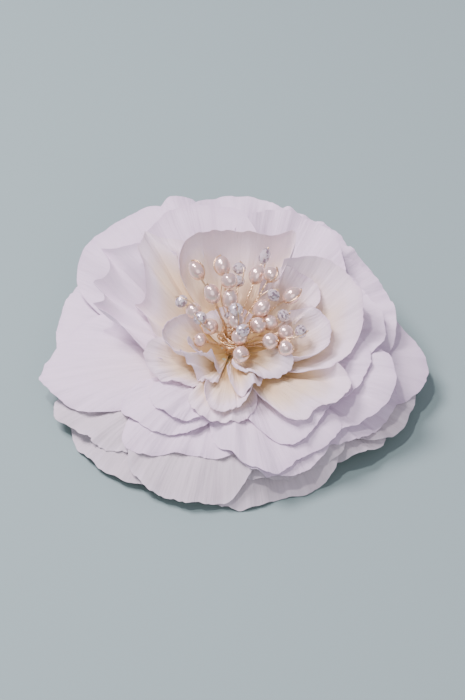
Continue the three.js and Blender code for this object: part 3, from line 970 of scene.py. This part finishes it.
def binding():
    """The wire that binds the stems where they leave the hub, its turns standing loose."""
    points = []
    for i in range(BINDING_TURNS * TURN_STEPS + 1):
        t = i / (BINDING_TURNS * TURN_STEPS)
        turn = 2 * math.pi * t * BINDING_TURNS
        slack = 1 + BINDING_SLACK * noise.noise(Vector((turn * 0.45, 3, 0)))
        radius = (TRUNK + 2 * STRAND) * slack * (1 + BINDING_FLARE * t)
        height = HUB_TOP + BINDING_RISE * (t + BINDING_WAVE * math.sin(turn * 2.3))
        points.append(AXIS + Vector((radius * math.cos(turn), radius * math.sin(turn), height)))
    return points


def spray():
    """Every bead, then all the stems and their binding as one piece."""
    wires = []
    for number, (tip, beads) in enumerate(SPRAY):
        for bead in beads:
            if bead.startswith("pearl"):
                pearl(bead, number * 1.7)
            else:
                crystal(bead)
        wires += stem_wires(number, tip, beads)
    wires.append(binding())
    wire_piece("twisted_stems", wires, STRAND, GILT, "spray_wire", BODY)


spray()

# ---------------------------------------------------------------- felt, hub and clip
STRAP_FELT = 0.8 * MM
ARM_GAP = 0.3 * MM  # from the fixed arm to the strap's folds
DISC_RINGS, DISC_STEPS = 24, 96
STRAP_STEPS = 12
PARE = 0.9  # share of its CAD thickness that felt keeps, so that it lies clear of its neighbours
ARM_EDGE, PIN_EDGE = 0.18 * MM, 0.2 * MM  # roundings of the pressed steel
FOLD_ANGLE = 0.6  # radians; a sharp edge of the pressed steel turns by more than this
SPRING_WIRE = 0.3 * MM  # radius
TURNS, SPRING_STEPS = 3.5, 20  # turns of the coil, and straight lengths in each
# the moving leg overlaps the coil by more than the clip's opening, so no gap shows as it opens
COIL_END, LEG_START = 3.35, 3.25


def felt_disc():
    """The round felt backing, with a softly uneven face and cut edge."""
    low, high = node_box("felt_disc")
    radius = (high.x - low.x) / 2
    bm = bmesh.new()
    line = [
        bm.verts.new((radius * i / DISC_RINGS, 0, high.z)) for i in range(DISC_RINGS + 1)
    ]
    edges = [bm.edges.new(pair) for pair in zip(line, line[1:])]
    bmesh.ops.spin(
        bm,
        geom=line + edges,
        cent=(0, 0, 0),
        axis=UP,
        angle=2 * math.pi,
        steps=DISC_STEPS,
        use_merge=True,
    )
    bmesh.ops.remove_doubles(bm, verts=bm.verts, dist=1e-6)
    for vert in bm.verts:
        place = vert.co / radius
        vert.co.xy *= 1 + 0.01 * noise.noise(place * 5) * place.xy.length ** 6
        vert.co.z -= 0.06 * MM * (1 + noise.noise(place * 9))
    thicken(bm, PARE * (high.z - low.z))
    bevel(bm, cut_edges(bm), 0.25 * MM, 3)
    top = max(vert.co.z for vert in bm.verts)
    bmesh.ops.translate(bm, verts=bm.verts, vec=AXIS + UP * (high.z - top))
    piece = finish_piece("felt_backing", bm, FELT, "felt_disc")


def felt_strap():
    """The felt strip folded under the fixed arm, its wings flat against the backing."""
    low, high = node_box("felt_strap")
    arm_low, arm_high = node_box("clip_fixed_arm")
    beside = (arm_high.y - arm_low.y) / 2 + ARM_GAP + STRAP_FELT / 2
    wing = (high.y - low.y) / 2
    over, under = high.z - STRAP_FELT / 2, low.z + STRAP_FELT / 2
    bm = bmesh.new()
    half = [(wing, over), (beside, over), (beside, under)]
    outline = [(-y, z) for y, z in half] + half[::-1]
    line = [bm.verts.new((low.x, AXIS.y + y, z)) for y, z in outline]
    for pair in zip(line, line[1:]):
        bm.edges.new(pair)
    bevel(bm, line[1:-1], 0.35 * MM, 4, affect="VERTICES")
    straight = [edge for edge in bm.edges if edge.calc_length() > 2 * MM]
    bmesh.ops.subdivide_edges(bm, edges=straight, cuts=8)
    row = bm.edges[:]
    for _ in range(STRAP_STEPS):
        made = bmesh.ops.extrude_edge_only(bm, edges=row)["geom"]
        verts = [item for item in made if isinstance(item, bmesh.types.BMVert)]
        bmesh.ops.translate(bm, verts=verts, vec=((high.x - low.x) / STRAP_STEPS, 0, 0))
        row = [
            item
            for item in made
            if isinstance(item, bmesh.types.BMEdge)
            and not item.link_faces[1:]
            and abs(item.verts[0].co.x - item.verts[1].co.x) < 1e-7
        ]
    for vert in bm.verts:
        vert.co.y *= 1 + 0.008 * noise.noise(vert.co * 500)
    thicken(bm, PARE * STRAP_FELT)
    bevel(bm, cut_edges(bm), 0.15 * MM, 2)
    piece = finish_piece("felt_wrap", bm, FELT, "felt_strap")


def rounded_steel(name, node_name, body, edge_radius):
    """A pressed steel part with its edges tumbled smooth."""
    bm = bmesh.new()
    bm.from_mesh(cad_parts[node_name].data)
    bmesh.ops.remove_doubles(bm, verts=bm.verts, dist=1e-6)
    bmesh.ops.dissolve_limit(bm, angle_limit=0.03, verts=bm.verts, edges=bm.edges)
    bmesh.ops.recalc_face_normals(bm, faces=bm.faces)
    sharp = [
        edge for edge in bm.edges if edge.is_manifold and edge.calc_face_angle() > FOLD_ANGLE
    ]
    bevel(bm, sharp, edge_radius, 3, clamp=True)
    bmesh.ops.recalc_face_normals(bm, faces=bm.faces)
    for edge in bm.edges:
        edge.smooth = not edge.is_manifold or edge.calc_face_angle() < FOLD_ANGLE
    finish_piece(name, bm, STEEL, node_name, body=body)


def spring():
    """The spring, wound round the pin: its upper leg presses the fixed arm, its lower leg the
    moving one."""
    pin_low, pin_high = node_box("clip_pin")
    low, high = node_box("clip_spring")
    pivot = (pin_low + pin_high) / 2
    radius = pivot.z - low.z - SPRING_WIRE
    half = (high.y - low.y) / 2 - SPRING_WIRE

    def wound(first, last):
        points = []
        for i in range(round(first * SPRING_STEPS), round(last * SPRING_STEPS) + 1):
            turn = math.pi / 2 + 2 * math.pi * i / SPRING_STEPS
            along = half * (2 * i / SPRING_STEPS / TURNS - 1)
            offset = Vector((radius * math.cos(turn), along, radius * math.sin(turn)))
            points.append(pivot + offset)
        return points

    upper_end = Vector((high.x, pivot.y - half, high.z - SPRING_WIRE))
    lower_end = Vector((high.x, pivot.y + half, low.z + SPRING_WIRE))
    for name, points, body in (
        ("spring_coil", [upper_end, *wound(0, COIL_END)], BODY),
        ("spring_leg", [*wound(LEG_START, TURNS), lower_end], ARM),
    ):
        wire_piece(name, [points], SPRING_WIRE, STEEL, "clip_spring", body)


rounded_steel("clip_arm_fixed", "clip_fixed_arm", BODY, ARM_EDGE)
rounded_steel("clip_arm_moving", "clip_moving_arm", ARM, ARM_EDGE)
rounded_steel("clip_rivet", "clip_pin", BODY, PIN_EDGE)
spring()
felt_disc()
felt_strap()
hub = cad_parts["hub"]
hub.data.materials.clear()
hub.data.materials.append(POLYTHENE)

# ---------------------------------------------------------------- floor, light and camera
FLOOR_SIZE = 3  # half its side
floor_mesh = bpy.data.meshes.new("floor")
bm = bmesh.new()
bmesh.ops.create_grid(bm, x_segments=1, y_segments=1, size=FLOOR_SIZE)
bm.to_mesh(floor_mesh)
bm.free()
board, _, _ = new_material(
    "pale_sage_board", {"Roughness": 0.8, "Base Color": linear("#90ADA3")}
)
floor_mesh.materials.append(board)
floor = bpy.data.objects.new("floor", floor_mesh)
bpy.context.scene.collection.objects.link(floor)


def area_light(name, place, size, watts, colour):
    """A round soft light that faces the flower."""
    light = bpy.data.lights.new(name, "AREA")
    light.shape = "DISK"
    light.size = size
    light.energy = watts
    light.color = linear(colour)[:3]
    holder = bpy.data.objects.new(name, light)
    holder.location = place
    facing = Vector((0, 0, 0.02)) - Vector(place)
    holder.rotation_euler = facing.to_track_quat("-Z", "Y").to_euler()
    bpy.context.scene.collection.objects.link(holder)


area_light("window", (-0.42, 0.2, 0.8), 0.36, 11, "#FFE8FF")
area_light("lamp", (-0.2, -0.1, 0.9), 0.04, 3.5, "#FFF0FF")
area_light("fill", (0.2, -0.9, 0.8), 0.9, 3.2, "#FBEEFF")

world = bpy.data.worlds.new("studio")
world.use_nodes = True
background = world.node_tree.nodes["Background"]
background.inputs["Color"].default_value = linear("#EEDDFA")
background.inputs["Strength"].default_value = 0.45
bpy.context.scene.world = world

ELEVATION = math.radians(45)
DISTANCE = 0.65
FRAME_HEIGHT = 207.1 * MM  # what the view takes in, top to bottom, at the flower
look_at = AXIS + UP * 19.8 * MM
camera_data = bpy.data.cameras.new("camera")
camera_data.sensor_fit = "VERTICAL"
camera_data.angle = 2 * math.atan(FRAME_HEIGHT / 2 / DISTANCE)
camera_data.clip_start = 0.01
camera = bpy.data.objects.new("camera", camera_data)
camera.location = look_at + Vector((0, -math.cos(ELEVATION), math.sin(ELEVATION))) * DISTANCE
camera.rotation_euler = (look_at - camera.location).to_track_quat("-Z", "Y").to_euler()
bpy.context.scene.collection.objects.link(camera)
bpy.context.scene.camera = camera
